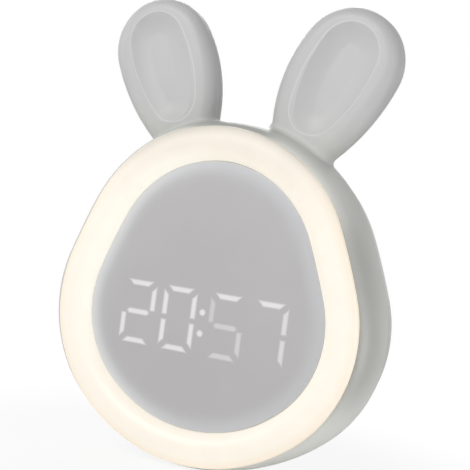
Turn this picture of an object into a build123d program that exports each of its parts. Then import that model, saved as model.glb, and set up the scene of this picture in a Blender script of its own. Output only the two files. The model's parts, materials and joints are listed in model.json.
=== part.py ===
"""Kids' alarm clock with a lit ring round its face and two ears.

Frame: +Z up, the face looks towards -Y, X runs to the right of a person who
looks at the face.  The origin is on the table, under the middle of the object.
"Depth" is counted backwards, towards +Y, from the front of the display panel.
Face drawings use a plane whose origin is the centre of the face.
"""

from build123d import *
from math import atan2, cos, degrees, hypot, radians, sin, sqrt, tan
import os

os.makedirs("parts", exist_ok=True)

# ---------------------------------------------------------------- face outline
panel_top = 59.1            # top of the display panel above the face centre
panel_crown_radius = 44.3   # arc over the top of the panel
panel_side_radius = 255.0   # nearly straight arc down each side
panel_cheek_radius = 41.6   # arc round each lower corner
crown_turn = 66.0           # degrees that each arc turns through, from the top down
side_turn = 5.5
cheek_turn = 66.0

# ---------------------------------------------------------------- housing sizes
wall = 2.2                  # moulded wall
ring_width = 13.5           # lit ring, measured outwards from the panel's edge
ring_gap = 0.2              # between the ring and the parts round it
rim_wall = 1.2              # housing wall round the ring's skirt, under the ring's brow
rim_step = 0.2              # how far the ring's brow stands out over that wall
girth_crown_gain = 7.2      # how much rounder the housing is at its widest plane
girth_cheek_gain = -0.8
girth_top_gain = 3.7        # how much higher the housing is there than the ring
rim_depth = -1.0            # front of the housing's rim, ahead of the panel
girth_depth = 16.3          # widest plane, where front and rear housing meet
back_depth = 43.5
back_taper = 12.0           # degrees that the rear wall leans in
back_round = 16.0           # radius round the back
base_cut = 0.5              # flat of the housing above the table
base_bite = 1.1             # how much of the round outline the flat takes away
base_floor = 2.7            # inside floor above the table
heel_width = 44.0           # block that carries the base backwards
heel_depth = 36.0
heel_height = 14.0
heel_round = 3.0
tongue = 1.2                # seam tongue on the rear housing
fit = 0.1                   # gap in the seam
clearance = 0.3             # running gap round everything that moves

# ---------------------------------------------------------------- ears
ear_x = 41.4                # centre of the right ear's tip arc
ear_z = 103.6               # its height above the face centre
ear_lean = 22.5             # degrees outwards
ear_tip_radius = 21.3
ear_outer_radius = 84.0
ear_inner_radius = 62.0
ear_outer_tip_turn = 90.0
ear_inner_tip_turn = 77.5
ear_outer_turn = 32.0
ear_inner_turn = 47.5
ear_half_depth = 7.0        # ear thickness each side of the girth plane
ear_round = 5.6
ear_blend = 2.5             # radius between ear and body
dish_top = 15.0             # shallow dish in the front of each ear
dish_crown_radius = 12.2
dish_crown_turn = 80.0
dish_side_radius = 60.0
dish_side_turn = 30.0
dish_shift = -0.5
dish_tilt = -3.6
dish_depth = 2.6
dish_steps = (0.0, 0.3, 0.6, 0.85)  # shares of the way in where the bowl is drawn
dish_reach = 10.5           # way in from the rim to the bottom of the bowl
dish_rim_round = 0.4

# ---------------------------------------------------------------- ring and panel
panel_thickness = 2.0
panel_gap = 0.15            # round the panel
panel_edge_round = 0.4
ring_crest = 4.4            # highest point of the ring ahead of the panel
ring_skin = 2.0             # wall of the ring
ring_inner_step = 0.5       # ring's inner edge ahead of the panel
ring_outer_step = 2.9       # ring's outer edge ahead of the panel
ring_crest_share = 0.42     # where the crest is, as a share of the ring's width
ring_edge_round = 1.2

# ---------------------------------------------------------------- ledge and tray
ledge_depth = 4.4           # front of the ledge that the ring stands on
ledge_thickness = 1.8
ledge_inner = 10.6          # ledge reaches in to this distance from the panel's edge
tray_wall = 1.6
tray_outer = 11.8           # outside of the light trough
trough_depth = 12.0         # front of the trough's floor
tab_radius = 2.3
rim_boss_radius = 2.3
rim_boss_offset = 14.3      # screw bosses, from the panel's edge
rim_boss_turns = (62.0, 114.0)
tower_radius = 3.5          # towers that take the rear screws

# ---------------------------------------------------------------- display
module_width = 76.0
module_height = 33.0
module_x = -0.3             # centre of the digits from the face centre
module_z = -5.6
module_front = 2.5
module_thickness = 8.8
module_gap = 0.3
digit_height = 25.4
digit_width = 14.7
digit_pitch = 18.3
colon_gap = 2.6             # extra space for the colon
stroke = 2.1
corner_cut = 1.9            # bare corner between two strokes
stroke_break = 1.15         # half the gap between an upper and a lower stroke
middle_inset = 0.4
segment_thickness = 0.3
colon_dot = 1.2             # radius of each dot
colon_rise = 4.2
shown = ("abdeg", "abcdef", "acdfg", "abc")

# ---------------------------------------------------------------- boards
board_thickness = 1.6
board_corner = 1.5
main_board_width = 88.0
main_board_height = 36.0
board_screw_inset = (3.0, 4.0)  # from the board's ends and from its long edges
board_tower_radius = 2.5
light_board_inner = 2.1
light_board_width = 7.8
led_line = 6.0              # middle of the row of lamps from the panel's edge
led_count = 28
led_length = 3.5
led_width = 2.8
led_height = 1.4
chip_x = -22.0
chip_side = 12.0
chip_height = 1.6
capacitor_radius = 3.2
capacitor_height = 7.0
capacitor_pitch = 12.0
ribbon_low = 10.5           # cable between the two boards, from the face centre
ribbon_high = 19.0
ribbon_width = 12.0
ribbon_thickness = 0.6
ribbon_bend = 2.5
connector_length = 14.0
connector_width = 4.0
connector_height = 2.5

# ---------------------------------------------------------------- rear posts
post_radius = 4.5
post_places = ((38.0, 24.0), (36.0, -31.0))
post_front = 17.0
post_floor = 3.2            # material under a screw's head

# ---------------------------------------------------------------- control board
control_width = 66.0
control_bottom = 15.0
control_top = 50.5
control_room = 7.9          # front of the control board from the back's inside
control_boss_inset = (3.0, 3.5)  # from the control board's ends and from its long edges
key_z = 42.0
key_pitch = 11.0
key_names = ("alarm_key", "time_key", "minus_key", "plus_key", "light_key")
key_length = 8.4
key_height = 5.4
key_proud = 0.8
key_edge = 0.3
key_flange = 0.8            # how far the flange reaches past the cap
key_flange_thickness = 1.1
key_travel = 0.8
switch_side = 6.0
switch_height = 3.4
stem_radius = 1.7
slider_x = -22.0
slider_z = 24.0
slider_travel = 3.0
slider_length = 3.2
slider_height = 2.6
slider_proud = 0.6
slider_plate_length = 10.0
slider_plate_height = 5.0
slider_plate_thickness = 0.9
slider_round = 0.4
slide_switch_length = 9.0
slide_switch_width = 4.0
slide_switch_height = 3.6
socket_x = 22.0
socket_width = 8.94
socket_height = 3.26
socket_skin = 0.3
socket_tongue = 0.7
socket_sink = 0.6           # mouth of the socket inside the back
socket_floor = 1.0          # closed end of the socket, and how far the tongue stands back

# ---------------------------------------------------------------- speaker
speaker_z = 24.0
speaker_radius = 11.0
speaker_depth = 5.0
speaker_wall = 1.6
speaker_rim = 1.4           # flange round the cone
speaker_edge = 1.0          # wall round the cone
speaker_slope = 2.0         # how far inside the flange the basket's slope starts
magnet_radius = 5.5
magnet_top = 3.4            # front of the magnet from the grille's inside
coil_radius = 3.0
coil_seat = 3.0             # bottom of the room for the cone
cone_sheet = 0.4
cone_dome = 1.3             # how far the middle dome rises from the cone's bottom
grille_hole = 0.95
grille_pitch = 3.1
grille_reach = 8.6

# ---------------------------------------------------------------- battery bay
cell_radius = 7.1
cell_length = 49.0
cell_nub = 1.2
cell_nub_radius = 2.7
cell_pitch = 15.2
cell_count = 3
spring_length = 4.8
spring_wire = 0.8           # side of the square wire
spring_seat = 0.42          # from a contact to the middle of the wire
spring_turns = 2.5
spring_radius = 3.4
contact_thickness = 0.4
contact_side = 9.0
bay_z = -14.5               # centre of the bay below the face centre
bay_wall = 1.8
bay_sill = 4.8              # thicker lower wall that holds the hinge gutter
bay_gap = 0.5
door_thickness = 2.0
door_ledge = 1.5            # how far the door rests on the bay's walls
door_rise = 1.5             # hinge line under the bay
door_tab_width = 7.0
door_tab_reach = 4.7        # from the hinge line to the tip of the tab
door_tab_thickness = 1.2
door_tab_sink = 0.5         # tab's outer face ahead of the hinge line
door_tab_x = 17.0
door_swing_room = 4.6       # room that the tabs need ahead of the hinge line
door_edge_round = 0.4
latch_width = 7.0
latch_length = 3.4
latch_thickness = 1.0
latch_gap = 0.5
grip_count = 3
grip_width = 14.0
grip_height = 0.8
grip_proud = 0.5
grip_pitch = 2.2

# ---------------------------------------------------------------- feet
foot_radius = 3.0
foot_thickness = 1.5
foot_x = 7.5
foot_depths = (9.0, 31.0)

# ---------------------------------------------------------------- screws
rim_screw_radius = 0.95
rim_screw_length = 5.0
board_screw_length = 5.0
rear_screw_radius = 1.45
rear_screw_length = 10.0
screw_play = 0.12           # between a screw's shank and its hole
head_height = 1.5
blind_end = 1.0             # material that closes a blind screw hole

# ---------------------------------------------------------------- derived places
closing_turn = crown_turn + side_turn + cheek_turn
origin_depth = (back_depth + key_proud - ring_crest) / 2
taper_inset = (back_depth - girth_depth) * tan(radians(back_taper))
back_inner = back_depth - wall
ledge_back = ledge_depth + ledge_thickness
plateau_back = panel_thickness + tray_wall
plateau_grow = ring_gap + tray_wall
tray_back = trough_depth + tray_wall
light_board_front = trough_depth - board_thickness
main_board_front = module_front + module_thickness
main_board_back = main_board_front + board_thickness
post_seat = post_front + post_floor
control_depth = back_inner - control_room
control_back = control_depth + board_thickness
control_z = (control_bottom + control_top) / 2
flange_back = back_inner - clearance / 2
bay_length = cell_length + cell_nub + spring_length + 2 * contact_thickness
bay_height = cell_count * cell_pitch + bay_gap
bay_top = bay_z + bay_height / 2
bay_bottom = bay_z - bay_height / 2
bay_back = back_depth - door_thickness
cell_depth = bay_back - clearance - cell_radius
bay_floor = cell_depth - cell_radius - bay_gap / 2
hinge_z = bay_bottom - door_rise
door_top = bay_top + door_ledge
door_half_width = bay_length / 2 + door_ledge
skirt_outer = ring_width - rim_wall - ring_gap


def outline_foot(grow, bulge):
    """Lowest point of the face outline, from the face centre: the ends of its arcs in turn."""
    radii = (
        panel_crown_radius + grow + bulge * girth_crown_gain,
        panel_side_radius + grow,
        panel_cheek_radius + grow + bulge * girth_cheek_gain,
    )
    x, z, turned = 0, panel_top + grow + bulge * girth_top_gain, 0
    for radius, turn in zip(radii, (crown_turn, side_turn, cheek_turn)):
        x += radius * (sin(radians(turned + turn)) - sin(radians(turned)))
        z -= radius * (cos(radians(turned)) - cos(radians(turned + turn)))
        turned += turn
    return z - x / sin(radians(turned)) * (cos(radians(turned)) + 1)


face_height = base_cut - base_bite - outline_foot(ring_width, 1)


def face_plane(depth):
    """Drawing plane on the face's centre line, looking forwards."""
    return Plane(origin=(0, depth - origin_depth, face_height), x_dir=(1, 0, 0), z_dir=(0, -1, 0))


def ear_plane(depth):
    """Drawing plane on the right ear's own axis."""
    lean = radians(ear_lean)
    return Plane(
        origin=(ear_x, depth - origin_depth, face_height + ear_z),
        x_dir=(cos(lean), 0, -sin(lean)),
        z_dir=(0, -1, 0),
    )


def draw_egg(grow=0.0, bulge=0.0, whole=True):
    """Face outline of tangent arcs: grown from the panel's edge, and bulged to the girth."""
    crown_radius = panel_crown_radius + grow + bulge * girth_crown_gain
    cheek_radius = panel_cheek_radius + grow + bulge * girth_cheek_gain
    top = panel_top + grow + bulge * girth_top_gain
    with BuildLine() as outline:
        crown = JernArc((0, top), (1, 0), crown_radius, -crown_turn)
        side = JernArc(crown @ 1, crown % 1, panel_side_radius + grow, -side_turn)
        cheek = JernArc(side @ 1, side % 1, cheek_radius, -cheek_turn)
        base_radius = (cheek @ 1).X / sin(radians(closing_turn))
        JernArc(cheek @ 1, cheek % 1, base_radius, closing_turn - 180)
        if whole:
            mirror(about=Plane.YZ)
    return outline.edges()


def egg(grow=0.0, bulge=0.0, mode=Mode.ADD):
    """Fill the face outline in the open sketch."""
    make_face(draw_egg(grow, bulge), mode=mode)


def shell_outline(fraction, inset=0.0):
    """Outside of the front housing, from the rim (0) to the girth (1)."""
    egg(ring_width - (1 - fraction) * rim_step - inset, fraction)


def bulge_at(depth):
    """Share of the bulge that the front housing has at a depth: a quarter ellipse."""
    along = (depth - rim_depth) / (girth_depth - rim_depth)
    return sqrt(1 - (1 - along) ** 2)


def rim_point(turn, distance):
    """Point outside the panel's edge, where the outline has turned so far from its top."""
    crown = Vector(0, panel_top - panel_crown_radius)
    if turn <= crown_turn:
        direction = Vector(sin(radians(turn)), cos(radians(turn)))
        return crown + direction * (panel_crown_radius + distance)
    at_crown = Vector(sin(radians(crown_turn)), cos(radians(crown_turn)))
    at_side = Vector(sin(radians(crown_turn + side_turn)), cos(radians(crown_turn + side_turn)))
    cheek = (
        crown
        + at_crown * (panel_crown_radius - panel_side_radius)
        + at_side * (panel_side_radius - panel_cheek_radius)
    )
    direction = Vector(sin(radians(turn)), cos(radians(turn)))
    return cheek + direction * (panel_cheek_radius + distance)


def both_sides(points):
    """Each point and its mirror image."""
    return [(side * x, z) for x, z in points for side in (1, -1)]


rim_boss_points = both_sides(
    [(rim_point(t, rim_boss_offset).X, rim_point(t, rim_boss_offset).Y) for t in rim_boss_turns]
)
post_points = both_sides(post_places)
control_boss_points = both_sides([
    (control_width / 2 - control_boss_inset[0], z)
    for z in (control_bottom + control_boss_inset[1], control_top - control_boss_inset[1])
])
board_screw_points = [
    (module_x + side * (main_board_width / 2 - board_screw_inset[0]), module_z + z)
    for side in (-1, 1)
    for z in (board_screw_inset[1] - main_board_height / 2, main_board_height / 2 - board_screw_inset[1])
]
key_places = [(key_pitch * (i - (len(key_names) - 1) / 2), key_z) for i in range(len(key_names))]


def draw_ear(grow=0.0):
    """Right ear's outline in its own plane: tip arc, two side arcs and a hidden root."""
    tip = ear_tip_radius + grow
    with BuildLine() as outline:
        outer_tip = JernArc((0, tip), (1, 0), tip, -ear_outer_tip_turn)
        outer = JernArc(outer_tip @ 1, outer_tip % 1, ear_outer_radius + grow, -ear_outer_turn)
        inner_tip = JernArc((0, tip), (-1, 0), tip, ear_inner_tip_turn)
        inner = JernArc(inner_tip @ 1, inner_tip % 1, ear_inner_radius + grow, ear_inner_turn)
        Line(outer @ 1, inner @ 1)
    make_face(outline.edges())


def draw_dish(grow=0.0):
    """Oval dish of the ear, tapering to its root."""
    with BuildLine() as outline:
        crown = JernArc((0, dish_top + grow), (1, 0), dish_crown_radius + grow, -dish_crown_turn)
        side = JernArc(crown @ 1, crown % 1, dish_side_radius + grow, -dish_side_turn)
        turned = dish_crown_turn + dish_side_turn
        JernArc(side @ 1, side % 1, (side @ 1).X / sin(radians(turned)), turned - 180)
        mirror(about=Plane.YZ)
    with Locations(Location((dish_shift, 0, 0), (0, 0, dish_tilt))):
        make_face(outline.edges())


def pin(points, radius, front, back, mode=Mode.ADD):
    """Round pins or holes along Y in the open part, between two depths."""
    with BuildSketch(face_plane(back)) as profile:
        with Locations(*points):
            Circle(radius)
    extrude(profile.sketch, amount=back - front, mode=mode)


def block(x, z, width, height, front, back, corner=0.0, mode=Mode.ADD):
    """Block with rounded corners along Y in the open part, between two depths."""
    with BuildSketch(face_plane(back)) as profile:
        with Locations((x, z)):
            if corner > 0:
                RectangleRounded(width, height, corner)
            else:
                Rectangle(width, height)
    extrude(profile.sketch, amount=back - front, mode=mode)


def both_ears(grow, front, back, mode=Mode.ADD):
    """Outline of both ears along Y in the open part, between two depths."""
    with BuildSketch(ear_plane(back)) as right:
        draw_ear(grow)
    left = right.sketch.mirror(Plane.YZ)
    for outline in (right.sketch, left):
        extrude(outline, amount=back - front, dir=(0, -1, 0), mode=mode)


def screws(points, seat, radius, length, into):
    """Screws along Y: heads on the seat, shanks running forwards (-1) or backwards (1) into it."""
    pin(points, radius, *sorted((seat, seat + into * length)))
    pin(points, 2 * radius, *sorted((seat, seat - into * head_height)))


def save(part, name):
    """Label a finished piece and write it."""
    part.label = name
    export_step(part, f"parts/{name}.step")


def feet(radius, mode=Mode.ADD):
    """Round pads under the base in the open part."""
    with BuildSketch(Plane.XY) as pads:
        with Locations(*[(x, y - origin_depth) for x in (-foot_x, foot_x) for y in foot_depths]):
            Circle(radius)
    extrude(pads.sketch, amount=foot_thickness, mode=mode)


# ================================================================ front housing
front_sections = (0.0, 0.12, 0.35, 0.65, 1.0)
with BuildPart() as front_skin:
    for along in front_sections:
        depth = rim_depth + along * (girth_depth - rim_depth)
        with BuildSketch(face_plane(depth)):
            shell_outline(bulge_at(depth))
    loft()

dish_front = girth_depth - ear_half_depth
with BuildPart() as dish_form:
    for step in dish_steps:
        with BuildSketch(ear_plane(dish_front + dish_depth * (1 - (1 - step) ** 2))):
            draw_dish(-dish_reach * step)
    loft()

with BuildPart() as front_ears:
    with BuildSketch(ear_plane(girth_depth)):
        draw_ear()
    extrude(amount=ear_half_depth)
    fillet(front_ears.faces().sort_by(Axis.Y)[0].edges().filter_by(GeomType.CIRCLE), ear_round)
    add(dish_form, mode=Mode.SUBTRACT)
    ear_face = front_ears.faces().sort_by(Axis.Y)[0]
    fillet(ear_face.inner_wires()[0].edges(), dish_rim_round)
    mirror(about=Plane.YZ)

with BuildPart() as front_form:
    add(front_skin)
    add(front_ears)
    fillet(new_edges(front_skin.part, front_ears.part, combined=front_form.part), ear_blend)

with BuildPart() as front_void:
    for depth in (ledge_back, (ledge_back + girth_depth) / 2, girth_depth):
        with BuildSketch(face_plane(depth)):
            shell_outline(bulge_at(depth), wall)
    loft()
    both_ears(-wall, girth_depth - ear_half_depth + dish_depth + wall, girth_depth)
    pin(rim_boss_points, rim_boss_radius, ledge_back, trough_depth, Mode.SUBTRACT)
    pin(rim_boss_points, tab_radius + clearance, trough_depth, girth_depth)
    split(bisect_by=Plane.XY.offset(base_floor), keep=Keep.TOP)

with BuildPart() as front_housing:
    add(front_form)
    add(front_void, mode=Mode.SUBTRACT)
    with BuildSketch(face_plane(ledge_depth)):
        egg(ring_width - rim_wall)
    extrude(amount=ledge_depth - 2 * rim_depth, mode=Mode.SUBTRACT)
    with BuildSketch(face_plane(ledge_back)):
        egg(ledge_inner)
    extrude(amount=ledge_thickness, mode=Mode.SUBTRACT)
    with BuildSketch(face_plane(girth_depth)):
        egg(ring_width - wall / 2 + fit, 1)
        egg(ring_width - wall - fit, 1, mode=Mode.SUBTRACT)
    extrude(amount=tongue + fit, mode=Mode.SUBTRACT)
    pin(rim_boss_points, rim_screw_radius + screw_play, ledge_back + blind_end, trough_depth, Mode.SUBTRACT)
    split(bisect_by=Plane.XY.offset(base_cut), keep=Keep.TOP)
    feet(foot_radius + fit, Mode.SUBTRACT)
save(front_housing.part, "front_housing")

# ================================================================ rear housing
with BuildPart() as rear_skin:
    with BuildSketch(face_plane(girth_depth)):
        egg(ring_width, 1)
    with BuildSketch(face_plane(back_depth)):
        egg(ring_width - taper_inset, 1)
    loft(ruled=True)
    fillet(rear_skin.faces().sort_by(Axis.Y)[-1].edges(), back_round)

with BuildPart() as rear_ears:
    with BuildSketch(ear_plane(girth_depth)):
        draw_ear()
    extrude(amount=-ear_half_depth)
    fillet(rear_ears.faces().sort_by(Axis.Y)[-1].edges().filter_by(GeomType.CIRCLE), ear_round)
    mirror(about=Plane.YZ)

with BuildPart() as rear_form:
    add(rear_skin)
    add(rear_ears)
    fillet(new_edges(rear_skin.part, rear_ears.part, combined=rear_form.part), ear_blend)


def heel(inset, mode=Mode.ADD):
    """Block under the rear that carries the base backwards."""
    with BuildSketch(face_plane(heel_depth - inset)) as profile:
        egg(ring_width - inset, 1)
        with Locations((0, base_cut - face_height)):
            RectangleRounded(heel_width - 2 * inset, 2 * heel_height, heel_round, mode=Mode.INTERSECT)
    extrude(profile.sketch, amount=heel_depth - inset - girth_depth, mode=mode)


with BuildPart() as rear_void:
    with BuildSketch(face_plane(girth_depth)):
        egg(ring_width - wall, 1)
    with BuildSketch(face_plane(back_inner)):
        egg(ring_width - wall - (back_inner - girth_depth) * tan(radians(back_taper)), 1)
    loft(ruled=True)
    fillet(rear_void.faces().sort_by(Axis.Y)[-1].edges(), back_round - wall)
    heel(wall)
    both_ears(-wall, girth_depth, girth_depth + ear_half_depth - wall)
    split(bisect_by=Plane.XY.offset(base_floor), keep=Keep.TOP)

with BuildPart() as seam_tongue:
    with BuildSketch(face_plane(girth_depth)):
        egg(ring_width - wall / 2, 1)
        egg(ring_width - wall, 1, mode=Mode.SUBTRACT)
    extrude(amount=tongue)
    both_ears(0, girth_depth - tongue, girth_depth, Mode.SUBTRACT)
    split(bisect_by=Plane.XY.offset(base_floor), keep=Keep.TOP)

grille_points = [
    (grille_pitch * (i + j / 2), speaker_z + grille_pitch * j * sqrt(3) / 2)
    for i in range(-4, 5)
    for j in range(-4, 5)
    if hypot(i + j / 2, j * sqrt(3) / 2) * grille_pitch < grille_reach
]

with BuildPart() as rear_housing:
    add(rear_form)
    heel(0)
    add(rear_void, mode=Mode.SUBTRACT)
    add(seam_tongue)
    split(bisect_by=Plane.XY.offset(base_cut), keep=Keep.TOP)
    feet(foot_radius + fit, Mode.SUBTRACT)
    # posts for the screws that hold the two housings together
    pin(post_points, post_radius, post_front, back_inner)
    pin(post_points, rear_screw_radius + screw_play, post_front, back_depth, Mode.SUBTRACT)
    pin(post_points, 2 * rear_screw_radius + fit, post_seat, back_depth, Mode.SUBTRACT)
    # bosses for the control board and the ring that holds the speaker
    pin(control_boss_points, board_tower_radius, control_back, back_inner)
    pin(control_boss_points, rim_screw_radius + screw_play, control_back, back_inner, Mode.SUBTRACT)
    speaker_room = speaker_radius + clearance
    collar_front = back_inner - 2 * speaker_wall
    pin([(0, speaker_z)], speaker_room + speaker_wall, collar_front, back_inner)
    pin([(0, speaker_z)], speaker_room, collar_front, back_inner, Mode.SUBTRACT)
    pin(grille_points, grille_hole, back_inner, back_depth, Mode.SUBTRACT)
    # battery bay: box of walls, pocket, seat of the door and its hinge gutter
    block(
        0, (bay_top + bay_wall + bay_bottom - bay_sill) / 2,
        bay_length + 2 * bay_wall, bay_height + bay_wall + bay_sill, bay_floor - bay_wall, back_inner,
    )
    block(0, bay_z, bay_length, bay_height, bay_floor, back_depth, mode=Mode.SUBTRACT)
    block(
        0, (door_top + hinge_z + clearance) / 2,
        2 * (door_half_width + clearance), door_top - hinge_z + clearance,
        bay_back, back_depth, mode=Mode.SUBTRACT,
    )
    with BuildSketch(Plane.YZ.offset(-door_half_width - clearance)) as gutter:
        with Locations((bay_back - origin_depth, face_height + hinge_z)):
            Circle(door_thickness + clearance)
            with Locations((door_thickness, -(door_thickness + clearance) / 2)):
                Rectangle(2 * door_thickness, door_thickness + clearance)
    extrude(gutter.sketch, amount=2 * (door_half_width + clearance), mode=Mode.SUBTRACT)
    for side in (-1, 1):
        block(
            side * door_tab_x, bay_bottom - bay_sill / 2,
            door_tab_width + 2 * clearance, bay_sill + 2 * clearance,
            bay_back - door_swing_room, back_inner, mode=Mode.SUBTRACT,
        )
    # openings for the keys, the slider and the socket
    for x, z in key_places:
        block(
            x, z, key_length + 2 * clearance, key_height + 2 * clearance, back_inner, back_depth,
            key_height / 2 + clearance - fit, Mode.SUBTRACT,
        )
    block(
        slider_x + slider_travel / 2, slider_z,
        slider_length + slider_travel + 2 * clearance, slider_height + 2 * clearance,
        back_inner, back_depth, mode=Mode.SUBTRACT,
    )
    block(
        socket_x, slider_z, socket_width + 2 * clearance, socket_height + 2 * clearance,
        back_inner, back_depth, socket_height / 2, Mode.SUBTRACT,
    )
save(rear_housing.part, "rear_housing")

# ================================================================ lit ring
section_plane = Plane(
    origin=(0, -origin_depth, face_height + panel_top), x_dir=(0, 0, 1), z_dir=(1, 0, 0)
)
with BuildPart() as light_ring:
    with BuildSketch(section_plane) as section:
        inner_wall = fit + ring_skin
        crest = ring_width * ring_crest_share
        with BuildLine():
            rise = TangentArc((crest, ring_crest), (fit, ring_inner_step), tangent=(-1, 0))
            fall = TangentArc((crest, ring_crest), (ring_width, ring_outer_step), tangent=(1, 0))
            inner_rise = TangentArc((crest, ring_crest - ring_skin), (inner_wall, 0), tangent=(-1, 0))
            inner_fall = TangentArc(
                (crest, ring_crest - ring_skin), (skirt_outer - ring_skin, ring_outer_step - ring_skin),
                tangent=(1, 0),
            )
            Polyline(
                fall @ 1, (ring_width, -rim_depth), (skirt_outer, -rim_depth),
                (skirt_outer, -ledge_depth), (skirt_outer - ring_skin, -ledge_depth), inner_fall @ 1,
            )
            Polyline(rise @ 1, (fit, -panel_thickness), (inner_wall, -panel_thickness), inner_rise @ 1)
        make_face()
        brow = section.vertices().group_by(Axis.X)[-1].sort_by(Axis.Y)[-1]
        fillet(brow, ring_edge_round)
    half_path = Wire(draw_egg(whole=False))
    sweep(path=face_plane(0).location * half_path)
    mirror(about=Plane.YZ)
save(light_ring.part, "light_ring")

# ================================================================ display panel
with BuildPart() as display_panel:
    with BuildSketch(face_plane(panel_thickness)):
        egg(-panel_gap)
    extrude(amount=panel_thickness)
    fillet(display_panel.faces().sort_by(Axis.Y)[0].edges(), panel_edge_round)
save(display_panel.part, "display_panel")

# ================================================================ reflector tray
with BuildPart() as display_tray:
    with BuildSketch(face_plane(plateau_back)):
        egg(plateau_grow)
    extrude(amount=tray_wall)
    with BuildSketch(face_plane(tray_back)):
        egg(tray_outer)
        for turn in rim_boss_turns:
            with BuildSketch(mode=Mode.PRIVATE) as tab:
                with Locations(rim_point(turn, tray_outer - tab_radius), rim_point(turn, rim_boss_offset)):
                    Circle(tab_radius)
                make_hull()
            add([tab.sketch, tab.sketch.mirror(Plane.YZ)])
        egg(ring_gap, mode=Mode.SUBTRACT)
    extrude(amount=tray_wall)
    with BuildSketch(face_plane(trough_depth)):
        egg(plateau_grow)
        egg(ring_gap, mode=Mode.SUBTRACT)
    extrude(amount=trough_depth - plateau_back)
    with BuildSketch(face_plane(trough_depth)):
        egg(tray_outer)
        egg(tray_outer - tray_wall, mode=Mode.SUBTRACT)
    extrude(amount=trough_depth - ledge_back)
    pin(post_points, tower_radius, plateau_back, post_front)
    pin(board_screw_points, board_tower_radius, plateau_back, main_board_front)
    block(
        module_x, module_z, module_width + 2 * module_gap, module_height + 2 * module_gap,
        panel_thickness, plateau_back, mode=Mode.SUBTRACT,
    )
    pin(rim_boss_points, rim_screw_radius + screw_play, trough_depth, tray_back, Mode.SUBTRACT)
    pin(post_points, rear_screw_radius + screw_play, plateau_back + blind_end, post_front, Mode.SUBTRACT)
    pin(
        board_screw_points, rim_screw_radius + screw_play, plateau_back + blind_end, main_board_front,
        Mode.SUBTRACT,
    )
save(display_tray.part, "display_tray")

# ================================================================ lamps of the ring
with BuildPart() as light_board:
    with BuildSketch(face_plane(trough_depth)):
        egg(light_board_inner + light_board_width)
        egg(light_board_inner, mode=Mode.SUBTRACT)
    extrude(amount=board_thickness)
save(light_board.part, "light_board")

lamp_path = Wire(draw_egg(led_line))
with BuildPart() as ring_leds:
    with BuildSketch(face_plane(light_board_front)):
        for i in range(led_count):
            share = (i + 0.5) / led_count
            along_path = lamp_path % share
            angle = degrees(atan2(along_path.Y, along_path.X))
            with Locations(Location(lamp_path @ share, (0, 0, angle))):
                Rectangle(led_length, led_width)
    extrude(amount=led_height)
save(ring_leds.part, "ring_leds")

# ================================================================ display module
with BuildPart() as display_module:
    block(
        module_x, module_z, module_width, module_height, module_front, main_board_front,
    )
save(display_module.part, "display_module")


def stroke_points(letter):
    """Corners of one stroke of a digit: a is the top stroke, b to f follow clockwise, g is the middle."""
    half_width = digit_width / 2
    half_height = digit_height / 2
    if letter == "g":
        tip = half_width - stroke - middle_inset
        flat = tip - stroke / 2
        half = stroke / 2
        return [(-tip, 0), (-flat, half), (flat, half), (tip, 0), (flat, -half), (-flat, -half)]
    if letter in "ad":
        outer = half_width - corner_cut
        inner = outer - stroke
        turned = 1 if letter == "a" else -1
        return [
            (-outer, turned * half_height),
            (outer, turned * half_height),
            (inner, turned * (half_height - stroke)),
            (-inner, turned * (half_height - stroke)),
        ]
    across = 1 if letter in "bc" else -1
    turned = 1 if letter in "bf" else -1
    corners = [
        (half_width, half_height - corner_cut),
        (half_width, stroke_break),
        (half_width - stroke / 2, stroke_break),
        (half_width - stroke, stroke_break + stroke / 2),
        (half_width - stroke, half_height - corner_cut - stroke),
    ]
    return [(across * x, turned * z) for x, z in corners]


def strokes(chosen):
    """Strokes of the four digits in the open sketch; chosen says which letters of each digit."""
    for i, letters in enumerate(chosen):
        middle = (len(chosen) - 1) / 2
        gap = colon_gap / 2 if i > middle else -colon_gap / 2
        with Locations((module_x + (i - middle) * digit_pitch + gap, module_z)):
            for letter in letters:
                Polygon(*stroke_points(letter), align=None)


with BuildPart() as lit_segments:
    with BuildSketch(face_plane(module_front)):
        strokes(shown)
        with Locations(*[(module_x, module_z + side * colon_rise) for side in (-1, 1)]):
            Circle(colon_dot)
    extrude(amount=segment_thickness)
save(lit_segments.part, "lit_segments")

with BuildPart() as dark_segments:
    with BuildSketch(face_plane(module_front)):
        strokes(["".join(letter for letter in "abcdefg" if letter not in lit) for lit in shown])
    extrude(amount=segment_thickness)
save(dark_segments.part, "dark_segments")

# ================================================================ main board
with BuildPart() as main_board:
    block(module_x, module_z, main_board_width, main_board_height, main_board_front, main_board_back)
    pin(
        board_screw_points, rim_screw_radius + screw_play, main_board_front, main_board_back,
        Mode.SUBTRACT,
    )
save(main_board.part, "main_board")

with BuildPart() as main_chip:
    block(chip_x, module_z, chip_side, chip_side, main_board_back, main_board_back + chip_height)
save(main_chip.part, "main_chip")

with BuildPart() as capacitors:
    pin(
        [(-chip_x, module_z + z) for z in (-capacitor_pitch / 2, capacitor_pitch / 2)],
        capacitor_radius, main_board_back, main_board_back + capacitor_height,
    )
save(capacitors.part, "capacitors")

# ================================================================ rear boards
with BuildPart() as control_board:
    block(
        0, control_z, control_width, control_top - control_bottom, control_depth, control_back,
        board_corner,
    )
    pin(
        control_boss_points, rim_screw_radius + screw_play, control_depth, control_back, Mode.SUBTRACT
    )
save(control_board.part, "control_board")

with BuildPart() as ribbon_connectors:
    for z, front in ((ribbon_low, main_board_back), (ribbon_high, control_depth - connector_height)):
        block(0, z, connector_length, connector_width, front, front + connector_height)
save(ribbon_connectors.part, "ribbon_connectors")

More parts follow.
